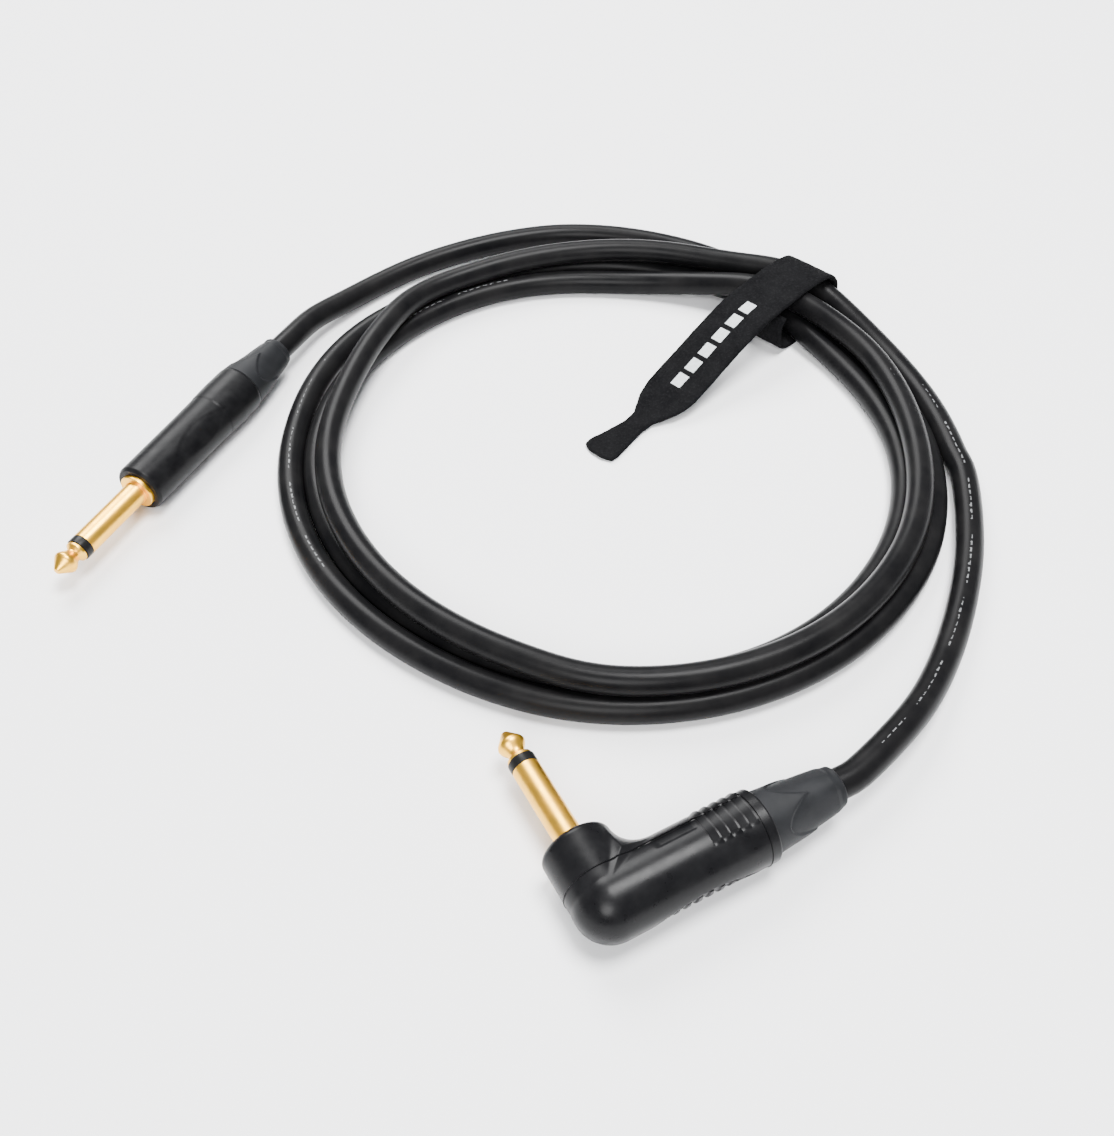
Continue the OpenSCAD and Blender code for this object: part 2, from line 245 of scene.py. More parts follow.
class Paint:
    """A material's node tree, with short names for the nodes used here."""

    def __init__(self, name, color, roughness, **constants):
        self.material = bpy.data.materials.new(name)
        self.material.use_nodes = True
        self.nodes = self.material.node_tree.nodes
        self.links = self.material.node_tree.links
        self.shader = self.nodes["Principled BSDF"]
        self.shader.inputs["Base Color"].default_value = (*color, 1)
        self.shader.inputs["Roughness"].default_value = roughness
        for socket, value in constants.items():
            self.shader.inputs[socket.replace("_", " ")].default_value = value

    def node(self, kind, **inputs):
        """New node. Each input takes a value, or a socket to link from."""
        made = self.nodes.new(kind)
        for socket, value in inputs.items():
            socket = socket.replace("_", " ")
            if isinstance(value, bpy.types.NodeSocket):
                self.links.new(value, made.inputs[socket])
            else:
                made.inputs[socket].default_value = value
        return made

    def coordinates(self, uv=False):
        """Object coordinates in metres, or the mesh's own UV."""
        return self.node("ShaderNodeTexCoord").outputs["UV" if uv else "Object"]

    def noise(self, where, size_mm, detail=3.0, roughness=0.6):
        """Noise whose blotches are about size_mm across."""
        made = self.node("ShaderNodeTexNoise", Vector=where, Scale=1 / (size_mm * MM))
        made.inputs["Detail"].default_value = detail
        made.inputs["Roughness"].default_value = roughness
        return made.outputs["Fac"]

    def spread(self, value, low, high, from_low=0.3, from_high=0.7):
        """Maps a value to a range."""
        made = self.node("ShaderNodeMapRange", Value=value)
        made.inputs["From Min"].default_value = from_low
        made.inputs["From Max"].default_value = from_high
        made.inputs["To Min"].default_value = low
        made.inputs["To Max"].default_value = high
        return made.outputs["Result"]

    def math(self, operation, a, b):
        """Result of a calculation with two values or sockets."""
        made = self.node("ShaderNodeMath")
        made.operation = operation
        for i, value in enumerate((a, b)):
            if isinstance(value, bpy.types.NodeSocket):
                self.links.new(value, made.inputs[i])
            else:
                made.inputs[i].default_value = value
        return made.outputs["Value"]

    def near(self, value, middle, reach):
        """1 where a value is within reach of a middle, and 0 elsewhere."""
        off = self.math("ABSOLUTE", self.math("SUBTRACT", value, middle), 0)
        return self.math("LESS_THAN", off, reach)

    def repeated(self, value, period, gap):
        """0 in a gap at the start of each period, and 1 in the rest of it."""
        return self.math("GREATER_THAN", self.math("MODULO", value, period), gap)

    def blend_colors(self, factor, first, second):
        """Colour between two colours or sockets."""
        made = self.node("ShaderNodeMix")
        made.data_type = "RGBA"
        self.links.new(factor, made.inputs["Factor"])
        for socket, value in (("A", first), ("B", second)):
            color_input = [i for i in made.inputs if i.name == socket and i.type == "RGBA"][0]
            if isinstance(value, bpy.types.NodeSocket):
                self.links.new(value, color_input)
            else:
                color_input.default_value = (*value, 1)
        return [o for o in made.outputs if o.type == "RGBA"][0]

    def color(self, socket):
        """Links the base colour."""
        self.links.new(socket, self.shader.inputs["Base Color"])

    def rough(self, socket):
        """Links the roughness."""
        self.links.new(socket, self.shader.inputs["Roughness"])

    def bump(self, height, depth_mm, strength=1.0):
        """Bump whose full height is depth_mm."""
        made = self.node("ShaderNodeBump", Height=height, Strength=strength)
        made.inputs["Distance"].default_value = depth_mm * MM
        self.links.new(made.outputs["Normal"], self.shader.inputs["Normal"])


def gold_plate():
    """Polished gold plate with faint wear."""
    paint = Paint("gold_plate", (1.0, 0.56, 0.06), 0.34, Metallic=1.0)
    where = paint.coordinates()
    wear = paint.noise(where, 2.5)
    fine = paint.noise(where, 0.12)
    paint.color(paint.blend_colors(paint.spread(wear, 0, 1), (1.0, 0.57, 0.06), (0.94, 0.49, 0.045)))
    paint.rough(paint.spread(wear, 0.29, 0.38))
    paint.bump(fine, 0.004)
    return paint.material


def shell_coating():
    """Satin black coating with a fine grain."""
    paint = Paint("shell_coating", (0.005, 0.005, 0.006), 0.38, Specular_IOR_Level=0.09)
    where = paint.coordinates()
    blotch = paint.noise(where, 3)
    grain = paint.noise(where, 0.15)
    dark, light = (0.0035, 0.0035, 0.004), (0.007, 0.007, 0.0075)
    paint.color(paint.blend_colors(paint.spread(blotch, 0, 1), dark, light))
    paint.rough(paint.spread(blotch, 0.32, 0.44))
    paint.bump(grain, 0.012)
    return paint.material


def plastic(name, color, roughness, grain_mm=0.3, depth_mm=0.01):
    """Moulded plastic with a fine grain and slightly lighter patches."""
    paint = Paint(name, color, roughness, Specular_IOR_Level=0.12)
    where = paint.coordinates()
    blotch = paint.noise(where, 4)
    lighter = tuple(min(1, 1.25 * c + 0.002) for c in color)
    paint.color(paint.blend_colors(paint.spread(blotch, 0, 1), color, lighter))
    paint.rough(paint.spread(blotch, roughness - 0.04, roughness + 0.06))
    paint.bump(paint.noise(where, grain_mm), depth_mm)
    return paint.material


def tinned():
    """Dull tin plate."""
    paint = Paint("tinned_brass", (0.62, 0.6, 0.56), 0.35, Metallic=1.0)
    blotch = paint.noise(paint.coordinates(), 1.2)
    paint.color(paint.blend_colors(paint.spread(blotch, 0, 1), (0.66, 0.64, 0.6), (0.5, 0.48, 0.45)))
    paint.rough(paint.spread(blotch, 0.28, 0.5))
    return paint.material


def copper_strands():
    """Bare wires side by side, with painted shade in the grooves between them and a painted highlight on their
    tops.
    """
    paint = Paint("copper_strands", (0.72, 0.36, 0.2), 0.35, Metallic=1.0)
    where = paint.coordinates()
    wave = paint.node("ShaderNodeTexWave", Vector=where, Scale=700.0, Distortion=1.5)
    # Painted shade and highlight: darker copper in the grooves and lighter on the wire tops, following the bump
    paint.color(paint.blend_colors(wave.outputs["Fac"], (0.42, 0.18, 0.09), (0.8, 0.45, 0.27)))
    paint.bump(wave.outputs["Fac"], 0.15)
    return paint.material


def boot_rubber():
    """Soft matte rubber, a little bluish."""
    paint = Paint("boot_rubber", (0.009, 0.0095, 0.011), 0.55, Specular_IOR_Level=0.16)
    where = paint.coordinates()
    blotch = paint.noise(where, 5)
    grain = paint.noise(where, 0.12)
    dark, light = (0.0065, 0.007, 0.008), (0.0115, 0.012, 0.0135)
    paint.color(paint.blend_colors(paint.spread(blotch, 0, 1), dark, light))
    paint.rough(paint.spread(blotch, 0.5, 0.62))
    paint.bump(grain, 0.02)
    return paint.material


def cable_jacket():
    """Black PVC. The UV runs in metres along the cable and once round it."""
    paint = Paint("cable_jacket", (0.005, 0.005, 0.0055), 0.36, Specular_IOR_Level=0.07)
    where = paint.coordinates()
    blotch = paint.noise(where, 9)
    grain = paint.noise(where, 0.35)
    black = paint.blend_colors(paint.spread(blotch, 0, 1), (0.0035, 0.0035, 0.004), (0.0075, 0.0073, 0.0075))
    split = paint.node("ShaderNodeSeparateXYZ", Vector=paint.coordinates(uv=True))
    along, around = split.outputs["X"], split.outputs["Y"]
    # Printed marks: a plain row of short strokes, in groups and stretches with gaps between them
    stretch_every, stretch_l = 0.265, 0.134
    group_every, group_gap = 0.0217, 0.005
    stroke_every, stroke_gap = 0.0023, 0.0009
    print_middle = 0.5
    half_height = paint.spread(paint.noise(where, 1.6), 0.012, 0.04)
    band = paint.near(around, print_middle, half_height)
    stretch = paint.math("LESS_THAN", paint.math("MODULO", along, stretch_every), stretch_l)
    stroke = paint.repeated(along, stroke_every, stroke_gap)
    space = paint.repeated(along, group_every, group_gap)
    worn = paint.spread(paint.noise(where, 0.5), 0.3, 0.95)
    marks = paint.math("MULTIPLY", paint.math("MULTIPLY", stroke, space), worn)
    ink = paint.math("MULTIPLY", paint.math("MULTIPLY", band, stretch), marks)
    paint.color(paint.blend_colors(ink, black, (0.2, 0.205, 0.21)))
    paint.rough(paint.spread(blotch, 0.29, 0.38))
    paint.bump(grain, 0.015)
    return paint.material


def strap_fabric():
    """Black hook-and-loop tape: brushed loops with small tufts and hollows, the raised tufts painted lighter as
    sheen.
    """
    paint = Paint("strap_fabric", (0.004, 0.004, 0.0045), 0.95, Specular_IOR_Level=0.05)
    where = paint.coordinates()
    tufts = paint.noise(where, 0.7, detail=5, roughness=0.75)
    loops = paint.node("ShaderNodeTexVoronoi", Vector=where, Scale=1500.0).outputs["Distance"]
    patches = paint.noise(where, 6)
    dark = paint.blend_colors(paint.spread(patches, 0, 1), (0.003, 0.003, 0.0035), (0.006, 0.006, 0.0065))
    # Painted sheen: the tufts that stand highest in the bump are painted lighter
    tufted = paint.blend_colors(paint.spread(tufts, 0, 1, 0.5, 0.8), dark, (0.014, 0.014, 0.015))
    # A plain row of pale printed blocks on the tail's top
    row_middle, row_reach = 0.0495, 0.0185
    block_every, block_gap = 0.0062, 0.0017
    top_middle, half_height = 0.2, 0.045
    split = paint.node("ShaderNodeSeparateXYZ", Vector=paint.coordinates(uv=True))
    along, across = split.outputs["X"], split.outputs["Y"]
    span = paint.near(along, row_middle, row_reach)
    block = paint.repeated(along, block_every, block_gap)
    row = paint.near(across, top_middle, half_height)
    worn = paint.spread(tufts, 1, 0.75, 0.4, 0.75)
    ink = paint.math("MULTIPLY", paint.math("MULTIPLY", span, block), paint.math("MULTIPLY", row, worn))
    paint.color(paint.blend_colors(ink, tufted, (0.62, 0.65, 0.66)))
    height = paint.math("ADD", tufts, paint.math("MULTIPLY", loops, 0.4))
    paint.bump(height, 0.35)
    return paint.material


GOLD = gold_plate()
SHELL = shell_coating()
GLOSSY = plastic("glossy_black", (0.0035, 0.0035, 0.004), 0.3, grain_mm=0.25, depth_mm=0.006)
BLACK_PLASTIC = plastic("black_plastic", (0.006, 0.006, 0.006), 0.35)
GREY_PLASTIC = plastic("grey_plastic", (0.08, 0.08, 0.085), 0.5)
WHITE_PLASTIC = plastic("white_plastic", (0.72, 0.71, 0.68), 0.5)
TIN = tinned()
COPPER = copper_strands()
RUBBER = boot_rubber()
JACKET = cable_jacket()
FABRIC = strap_fabric()

# ---- The cable ----

# Points of the middle line between each plug and the coil, repeated from part.scad, in millimetres
STRAIGHT_ROUTE = [(-54.5, 94.5, 6), (-46, 105, 4.6), (-37.5, 114, 3.7), (-27, 122.5, 3.5), (-14, 130, 3.5),
                  (3, 136.5, 3.5), (21, 139.5, 3.5), (39, 137.5, 3.5), (56, 131.5, 3.5), (71, 122.5, 3.5)]
ANGLE_ROUTE = [(87.5, -67.6, 7.4), (96.5, -57.5, 6.2), (104.5, -45.5, 4.8), (112, -31, 3.8), (119, -13, 3.5),
               (123.5, 5, 3.5), (125.5, 20, 3.5)]
# Where the coil starts, as an angle about its centre. It winds clockwise, seen from above
COIL_START = 55
# The three turns: (degrees turned, radius, layer from 0 on the floor to 1 on top of other strands)
COIL_KEYS = [
    (0, 90.2, 0), (5, 87.4, 0), (10, 84.9, 0), (15, 83.1, 0), (20, 82.3, 0), (25, 82, 0), (35, 82, 0),
    (45, 82.6, 0), (60, 84, 0), (90, 87, 0), (120, 88.5, 0), (150, 88, 0), (180, 86, 0), (210, 87, 0),
    (240, 89, 0), (270, 92, 0), (300, 88.5, 0), (330, 86, 0),
    (360, 80.5, 0), (375, 76.2, 0), (390, 75, 0), (420, 77, 0), (450, 79, 0), (480, 81, 0), (510, 81, 0),
    (540, 79.5, 0), (570, 80, 0), (600, 82, 0), (630, 83, 0), (660, 82, 0), (690, 77, 0), (705, 76.5, 0.35),
    (720, 77, 0.9), (735, 78.5, 1), (750, 79.5, 1), (780, 79.5, 1), (810, 83, 1), (840, 85.7, 1),
    (870, 84.5, 1), (885, 81.5, 1), (900, 79.5, 1), (930, 77.5, 1), (960, 77.5, 1), (975, 78.5, 1),
    (990, 81.5, 1), (1005, 86, 1), (1020, 85.5, 1), (1050, 85, 1), (1065, 85, 1), (1070, 85.3, 1),
    (1075, 86, 1), (1079, 87, 1), (1083, 88.1, 1), (1087, 89.1, 1), (1091, 89.9, 0.6), (1095, 90.1, 0.1),
    (1099, 89.8, 0), (1107, 89.3, 0), (1115, 89.2, 0), (1125, 89.5, 0), (1135, 90.4, 0), (1140, 91.2, 0),
]
# How much higher the top layer starts out, before the cable settles
TOP_LAYER = 7.5
DEGREE_STEP = 8
KEY_STEP = 2
# Distances along each plug's axis from its tip's end, or from its elbow, where the cable is held
ALONG_STRAIGHT = (60, 70, 80, 90, 98, 103)
ALONG_ANGLE = (59, 56, 50, 40, 30, 18)
SETTLE_STEPS = 300
RING_STEP = 2.5
CABLE_SIDES = 24
CABLE_D = 2 * CABLE_R


def smooth_line(keys, step):
    """Smooth curve through the points, as cubic pieces whose ease follows the points' distances."""
    keys = np.asarray(keys, float)
    lengths = np.linalg.norm(np.diff(keys, axis=0), axis=1)
    spans = np.sqrt(lengths)[:, None]
    slopes = np.diff(keys, axis=0) / spans
    tangents = np.empty_like(keys)
    tangents[1:-1] = (spans[1:] * slopes[:-1] + spans[:-1] * slopes[1:]) / (spans[1:] + spans[:-1])
    tangents[0] = 1.5 * slopes[0] - 0.5 * tangents[1]
    tangents[-1] = 1.5 * slopes[-1] - 0.5 * tangents[-2]
    pieces = []
    for i, span in enumerate(spans):
        count = max(2, math.ceil(lengths[i] / step))
        f = np.linspace(0, 1, count, endpoint=False)[:, None]
        pieces.append(
            (2 * f**3 - 3 * f**2 + 1) * keys[i]
            + (f**3 - 2 * f**2 + f) * span * tangents[i]
            + (3 * f**2 - 2 * f**3) * keys[i + 1]
            + (f**3 - f**2) * span * tangents[i + 1]
        )
    pieces.append(keys[-1:])
    return np.vstack(pieces)


def evenly(line, step):
    """The same line with points a step apart."""
    reached = np.r_[0, np.cumsum(np.linalg.norm(np.diff(line, axis=0), axis=1))]
    wanted = np.linspace(0, reached[-1], round(reached[-1] / step) + 1)
    return np.stack([np.interp(wanted, reached, line[:, i]) for i in range(3)], axis=1)


def coil_points():
    """Points every few degrees along the three turns."""
    # Millimetres of cable to a degree, near enough
    arc_per_degree = 1.4
    keys = [(turned * arc_per_degree, radius, CABLE_R + TOP_LAYER * top) for turned, radius, top in COIL_KEYS]
    line = smooth_line(keys, DEGREE_STEP * arc_per_degree / 2)
    turn = np.radians(COIL_START - line[:, 0] / arc_per_degree)
    x = coil_centre.x + line[:, 1] * np.cos(turn)
    y = coil_centre.y + line[:, 1] * np.sin(turn)
    return np.stack([x, y, line[:, 2]], axis=1)


def on_axis(matrix, distances):
    """Points on a plug's axis, in millimetres of the frame."""
    return [tuple((matrix @ Vector((s, 0, 0))) / MM) for s in distances]


def strap_under(points):
    """How far the strap lifts the cable that lies on it, with a slope beside the tape."""
    lift, slope_from, slope_l, beside = 1.45, 14, 5, 5
    local = np.array([AT_STRAP.inverted() @ (Vector((x, y, 0)) * MM) for x, y in points])
    inside = np.abs(local[:, 0]) < LOOP_OUTER + beside
    return lift * np.clip((slope_from - np.abs(local[:, 1])) / slope_l, 0, 1) * inside


def near_pairs(route):
    """Pairs of points where the cable passes close to itself.

    The first two lists are of points side by side, and the other two of points one above the other.
    """
    own_stretch = 14
    close = 1.6 * CABLE_D
    level_within = 1.5
    first, second = np.triu_indices(len(route), own_stretch)
    apart = np.linalg.norm(route[first, :2] - route[second, :2], axis=1)
    first, second = first[apart < close], second[apart < close]
    higher = route[first, 2] - route[second, 2]
    level = np.abs(higher) < level_within
    upper = np.where(higher > 0, first, second)[~level]
    lower = np.where(higher > 0, second, first)[~level]
    return first[level], second[level], upper, lower


def move_apart(plan, free, left, right):
    """Pushes level strands sideways until they lie a diameter apart."""
    push_share = 0.15
    count = len(plan)
    shift = np.zeros((count, 2))
    for _ in range(SETTLE_STEPS):
        moved = plan + shift
        between = moved[left] - moved[right]
        distance = np.maximum(np.linalg.norm(between, axis=1), 1e-6)
        push = between * (push_share * np.maximum(CABLE_D - distance, 0) / distance)[:, None]
        for i in range(2):
            shift[:, i] += np.bincount(left, push[:, i], count) - np.bincount(right, push[:, i], count)
        shift *= free[:, None]
        shift[1:-1] += 0.5 * (0.5 * (shift[:-2] + shift[2:]) - shift[1:-1])
    return plan + shift


def sink(plan, free, held_height, upper, lower):
    """Heights of a cable that sags until it rests on the floor, the strap and its own lower strands."""
    sag = 0.02
    soften_steps = 12
    base = np.where(free, CABLE_R + strap_under(plan), held_height)
    aside = np.linalg.norm(plan[upper] - plan[lower], axis=1)
    rise = np.sqrt(np.maximum(CABLE_D**2 - aside**2, 0))
    touching = aside < CABLE_D
    upper, lower, rise = upper[touching], lower[touching], rise[touching]
    height = base.copy()
    for _ in range(SETTLE_STEPS):
        least = base.copy()
        np.maximum.at(least, upper, height[lower] + rise)
        sagged = height.copy()
        sagged[1:-1] = 0.5 * (height[:-2] + height[2:]) - sag
        height = np.where(free, np.maximum(least, sagged), held_height)
    for _ in range(soften_steps):
        height[1:-1] = 0.5 * height[1:-1] + 0.25 * (height[:-2] + height[2:])
    return np.maximum(height, CABLE_R)


def settle(route):
    """Lays the cable down: strands side by side move apart, and upper ones come to rest on lower ones."""
    held_ends = 26
    free = np.ones(len(route), bool)
    free[:held_ends] = False
    free[-held_ends:] = False
    left, right, upper, lower = near_pairs(route)
    plan = move_apart(route[:, :2], free, left, right)
    return np.column_stack([plan, sink(plan, free, route[:, 2], upper, lower)])


def tube_rings(line, radius, sides):
    """Rings of points round a line, each starting on the side that faces up."""
    ahead = np.gradient(line, axis=0)
    ahead /= np.linalg.norm(ahead, axis=1)[:, None]
    up = np.array([0.0, 0.0, 1.0])
    turns = np.linspace(0, TAU, sides, endpoint=False)
    rings = []
    for point, forward in zip(line, ahead):
        side = np.cross(forward, up)
        side /= np.linalg.norm(side)
        over = np.cross(side, forward)
        rings.append(point + radius * (np.outer(np.cos(turns), over) + np.outer(np.sin(turns), side)))
    return np.array(rings)


def make_cable():
    """The whole cable as one closed tube, and its middle line in metres."""
    keys = np.vstack([
        on_axis(AT_STRAIGHT, ALONG_STRAIGHT),
        STRAIGHT_ROUTE,
        coil_points(),
        ANGLE_ROUTE[::-1],
        on_axis(AT_ANGLE, ALONG_ANGLE),
    ])
    line = settle(evenly(smooth_line(keys, KEY_STEP), RING_STEP)) * MM
    rings = tube_rings(line, CABLE_R * MM, CABLE_SIDES)
    vertices = [*rings.reshape(-1, 3), line[0], line[-1]]
    faces = grid_faces(len(line), CABLE_SIDES, closed_columns=True)
    first, last = len(vertices) - 2, len(vertices) - 1
    end = (len(line) - 1) * CABLE_SIDES
    for k in range(CABLE_SIDES):
        after = (k + 1) % CABLE_SIDES
        faces.append((first, after, k))
        faces.append((last, end + k, end + after))
    cable = mesh_object("cable", vertices, faces, JACKET)
    paint_along(cable, line)
    add_piece(cable, "root", "cable_jacket", "cable_lead_straight", "cable_coil", "cable_lead_angle")
    return cable, line


def paint_along(cable, line):
    """UV in metres along the cable and once round it. The print stays near the top, and rolls a little."""
    print_at = 0.56
    roll, roll_per_metre = 0.05, 9
    reached = np.r_[0, np.cumsum(np.linalg.norm(np.diff(line, axis=0), axis=1))]
    uv = cable.data.uv_layers.new(name="UVMap")
    rings = len(line)
    for face in cable.data.polygons:
        corners = [cable.data.loops[i].vertex_index for i in face.loop_indices]
        around = [v % CABLE_SIDES / CABLE_SIDES for v in corners]
        if max(around) - min(around) > 0.5:
            around = [a + 1 if a < 0.5 else a for a in around]
        for loop, corner, turn in zip(face.loop_indices, corners, around):
            along = reached[min(corner // CABLE_SIDES, rings - 1)]
            uv.data[loop].uv = (along, turn + print_at + roll * math.sin(roll_per_metre * along))


cable, cable_line = make_cable()

# ---- Contacts, shared by both plugs ----

ROD_R = 1.4
FLANGE_R = 4.85
BARREL_R = 5.5
BARREL_AT = 33.4
BARREL_END = 40.0
ROD_END = 43.9
CLEARANCE = 0.05


def make_contacts(side, matrix):
    """Tip, insulating ring and sleeve, with the tip's end at x = 0."""
    ball_at, neck_at, neck_r = 3.4, 6.4, 1.9
    collar_at, collar_r = 7.3, 2.9
    on_axis_r = 0.001
    steps = 12
    back = []
    for i in range(steps + 1):
        sunk = 0.5 - 0.5 * math.cos(math.pi * i / steps)
        back.append((ball_at + (neck_at - ball_at) * i / steps, JACK_R + (neck_r - JACK_R) * sunk, 0))
    nose = [(0, on_axis_r, 0), (0, 0.8, 0.3), (0.4, 1.1, 0.3), (2.8, 2.925, 0.5)]
    collar = [(collar_at, collar_r, 0.15), (RING_AT, collar_r, 0.1), (RING_AT, ROD_R, 0)]
    rod = [(ROD_END, ROD_R, 0), (ROD_END, on_axis_r, 0)]
    tip = [*nose, *back, *collar, *rod]
    piece = lathe(side + "_tip_gold", soften(tip, 0.1), GOLD, matrix)
    add_piece(piece, "root", "gold_contact", side + "_tip")

    ring = [(RING_AT + CLEARANCE, ROD_R + CLEARANCE), (RING_AT + CLEARANCE, JACK_R), (RING_END, JACK_R),
            (RING_END, ROD_R + CLEARANCE)]
    piece = lathe(side + "_ring_black", soften(ring, 0.08), BLACK_PLASTIC, matrix)
    add_piece(piece, "root", "black_plastic", side + "_tip_ring")

    bore_r = 2.0
    sleeve = [(RING_END + CLEARANCE, bore_r), (RING_END + CLEARANCE, JACK_R), (JACK_L, JACK_R, 0.15),
              (JACK_L, FLANGE_R, 0.3), (BARREL_AT, FLANGE_R), (BARREL_AT, BARREL_R), (BARREL_END, BARREL_R),
              (BARREL_END, bore_r)]
    piece = lathe(side + "_sleeve_gold", soften(sleeve, 0.1), GOLD, matrix)
    add_piece(piece, "root", "gold_contact", side + "_sleeve")


make_contacts("straight", AT_STRAIGHT)
make_contacts("angle", AT_FINGER)

# ---- Straight shell ----

THREAD_R = 6.0
THREAD_L = 10.0
MOUTH_AT = 32.1


def shell_recess(x, r, turn):
    """A long shallow leaf-shaped hollow on two sides of the shell."""
    start, length, half_width, depth = 42.0, 24.0, 3.6, 0.12
    on_side, edge_l, bore_within = 2.45, 0.9, 6.5
    f = (x - start) / length
    if r < bore_within or not 0 < f < 1:
        return r
    leaf = half_width * math.sin(math.pi * f)
    aside = min(abs(math.remainder(turn - side, TAU)) * r for side in (on_side, on_side + math.pi))
    return r - depth * float(ease(leaf - aside, 0, edge_l))


def make_shell():
    """Shell of the straight plug, wider from a low step on towards the boot."""
    thread_at = SHELL_END - THREAD_L - 1
    thread_r = THREAD_R + CLEARANCE
    room_r = 5.9
    seat_at, seat_r = BARREL_AT - 0.1, BARREL_R + CLEARANCE
    mouth = [(MOUTH_AT, FLANGE_R + CLEARANCE), (MOUTH_AT, 6.25, 0.4), (MOUTH_AT + 0.9, 6.7, 0.9)]
    step = [(58, 6.85, 3), (63.6, 6.95, 0.5), (64.3, 7.06, 0.5)]
    end = [(70, 7.25, 3), (SHELL_END - 0.6, 7.2, 0.3), (SHELL_END, 7.0, 0.1)]
    bore = [(SHELL_END, thread_r), (thread_at, thread_r), (thread_at, room_r), (BARREL_END, room_r)]
    seat = [(BARREL_END, seat_r), (seat_at, seat_r), (seat_at, FLANGE_R + CLEARANCE)]
    rounded = soften([*mouth, *step, *end, *bore, *seat], 0.1, steps=8)
    outline = dense(rounded, 0.5)
    piece = lathe("straight_shell_coated", outline, SHELL, AT_STRAIGHT, sides=128, shape=shell_recess)
    add_piece(piece, "root", "black_shell", "straight_shell")


make_shell()

# ---- Boots and their threaded rings ----


def boot_facets(x, r, turn):
    """Four hollowed facets, each with a round-ended arch towards the plug."""
    facets, turned = 4, 0.98
    arch_at, arch_l, step, hollow = 3.4, 6.5, 0.32, 0.5
    edge_l, bore_within = 0.35, 4.2
    deep_by, lip_from, lip_to = arch_at + 7, BOOT_L - 1.6, BOOT_L - 0.2
    if r < bore_within or x < arch_at:
        return r
    aside = math.remainder(turn - turned, TAU / facets)
    arch = math.pi / facets * math.sqrt((x - arch_at) / arch_l)
    inside = float(ease((arch - abs(aside)) * r, 0, edge_l))
    fade = float(ease(x, arch_at, deep_by)) * (1 - float(ease(x, lip_from, lip_to)))
    return r - inside * (step + hollow * fade * math.cos(2 * aside) ** 2)


def make_boot(side, matrix):
    """Soft tapered boot, seated on the neck of its threaded ring."""
    neck_r, neck_l, bore_r = 5.25, 5.6, 3.65
    outside = [(0.1, neck_r), (0.1, 7.05, 0.25), (3, 6.75, 2), (8, 6.4, 3), (13, 5.9, 3), (16.6, 5.45, 1.5),
               (17.8, 5.05, 0.8), (BOOT_L, 4.75, 0.7)]
    bore = [(BOOT_L, bore_r, 0.2), (neck_l, bore_r), (neck_l, neck_r)]
    outline = dense(soften(outside + bore, 0.05, steps=6), 0.25)
    piece = lathe(side + "_boot_rubber", outline, RUBBER, matrix, sides=160, shape=boot_facets)
    add_piece(piece, side + "_screw", "boot_rubber", side + "_boot")


def thread(x, r, turn):
    """A right-hand thread on the front of the ring."""
    depth, pitch = 0.35, 1.0
    bore_within, plain_from = THREAD_R - 0.45, -0.6
    if r < bore_within or x > plain_from:
        return r
    phase = (x / pitch - turn / TAU) % 1
    return r - depth * (1 - abs(2 * phase - 1))


def make_boot_ring(side, matrix):
    """Threaded ring, hollow for the collet, with a neck that holds the boot."""
    chuck_room, neck_r, neck_l, neck_bore = 4.7, 5.2, 5.5, 4.2
    neck_at, chamfer = -0.1, 0.4
    threaded = [(-THREAD_L, chuck_room), (-THREAD_L, THREAD_R - chamfer), (chamfer - THREAD_L, THREAD_R),
                (neck_at, THREAD_R)]
    neck = [(neck_at, neck_r), (neck_l, neck_r), (neck_l, neck_bore), (0, neck_bore), (0, chuck_room)]
    outline = dense(threaded + neck, 0.125)
    piece = lathe(side + "_ring_threaded", outline, BLACK_PLASTIC, matrix, sides=72, shape=thread)
    add_piece(piece, side + "_screw", "black_plastic", side + "_boot_ring")


for side, gland in (("straight", AT_STRAIGHT_GLAND), ("angle", AT_ANGLE_GLAND)):
    make_boot(side, gland)
    make_boot_ring(side, gland)

# ---- Housing and cover of the right-angle plug ----

HEAD_R = 7.8
BODY_R = 8.0
SEAM_AT = 4.5
COLLAR_AT = 33.0
ELBOW = 11.0
BODY_SIDES = 176


def outside_distance(p):
    """Distance to the plug's outside: a head along Y and a body along X, with a fillet between them."""
    fillet, fillet_by, sharp = 6.5, 6, 0.05
    x, y, z = p
    head = np.sqrt(x**2 + np.minimum(y, 0) ** 2 + z**2) - HEAD_R
    body = np.sqrt(np.minimum(x, 0) ** 2 + y**2 + z**2) - BODY_R
    soft = fillet * np.clip(np.minimum(x, y) / fillet_by, 0, 1) ** 2 + sharp
    mix = np.maximum(soft - np.abs(head - body), 0) / soft
    return np.minimum(head, body) - mix**2 * soft / 4


def elbow_sections():
    """Middles, outward directions and bore radii of sections from the head's face round to the collar's."""
    fine_by, fine_step, coarse_step = 12.8, 0.12, 0.25
    seat_at, thread_at = 12.3, BODY_L - THREAD_L - 1
    flange_bore, barrel_bore, room_bore = FLANGE_R + CLEARANCE, BARREL_R + CLEARANCE, 6.3
    bend_sections, body_step = 110, 0.15
    sections = []
    for y in np.r_[np.arange(HEAD_L, fine_by, -fine_step), np.arange(fine_by, ELBOW, -coarse_step)]:
        sections.append(((0, y), (-1, 0), flange_bore if y > seat_at else barrel_bore))
    for turn in np.radians(np.linspace(0, 90, bend_sections)):
        out_x, out_y = -math.cos(turn), -math.sin(turn)
        sections.append(((ELBOW * (1 + out_x), ELBOW * (1 + out_y)), (out_x, out_y), room_bore))
    for x in np.arange(ELBOW + body_step, BODY_L + 0.01, body_step):
        sections.append(((x, 0), (0, -1), room_bore if x < thread_at else THREAD_R + CLEARANCE))
    return sections


def rays(section, reach):
    """Points at a distance from a section's middle, one for each side."""
    (x, y), (out_x, out_y), _ = section
    turn = np.linspace(0, TAU, BODY_SIDES, endpoint=False)
    outward, up = reach * np.cos(turn), reach * np.sin(turn)
    return np.array([x + outward * out_x, y + outward * out_y, up])


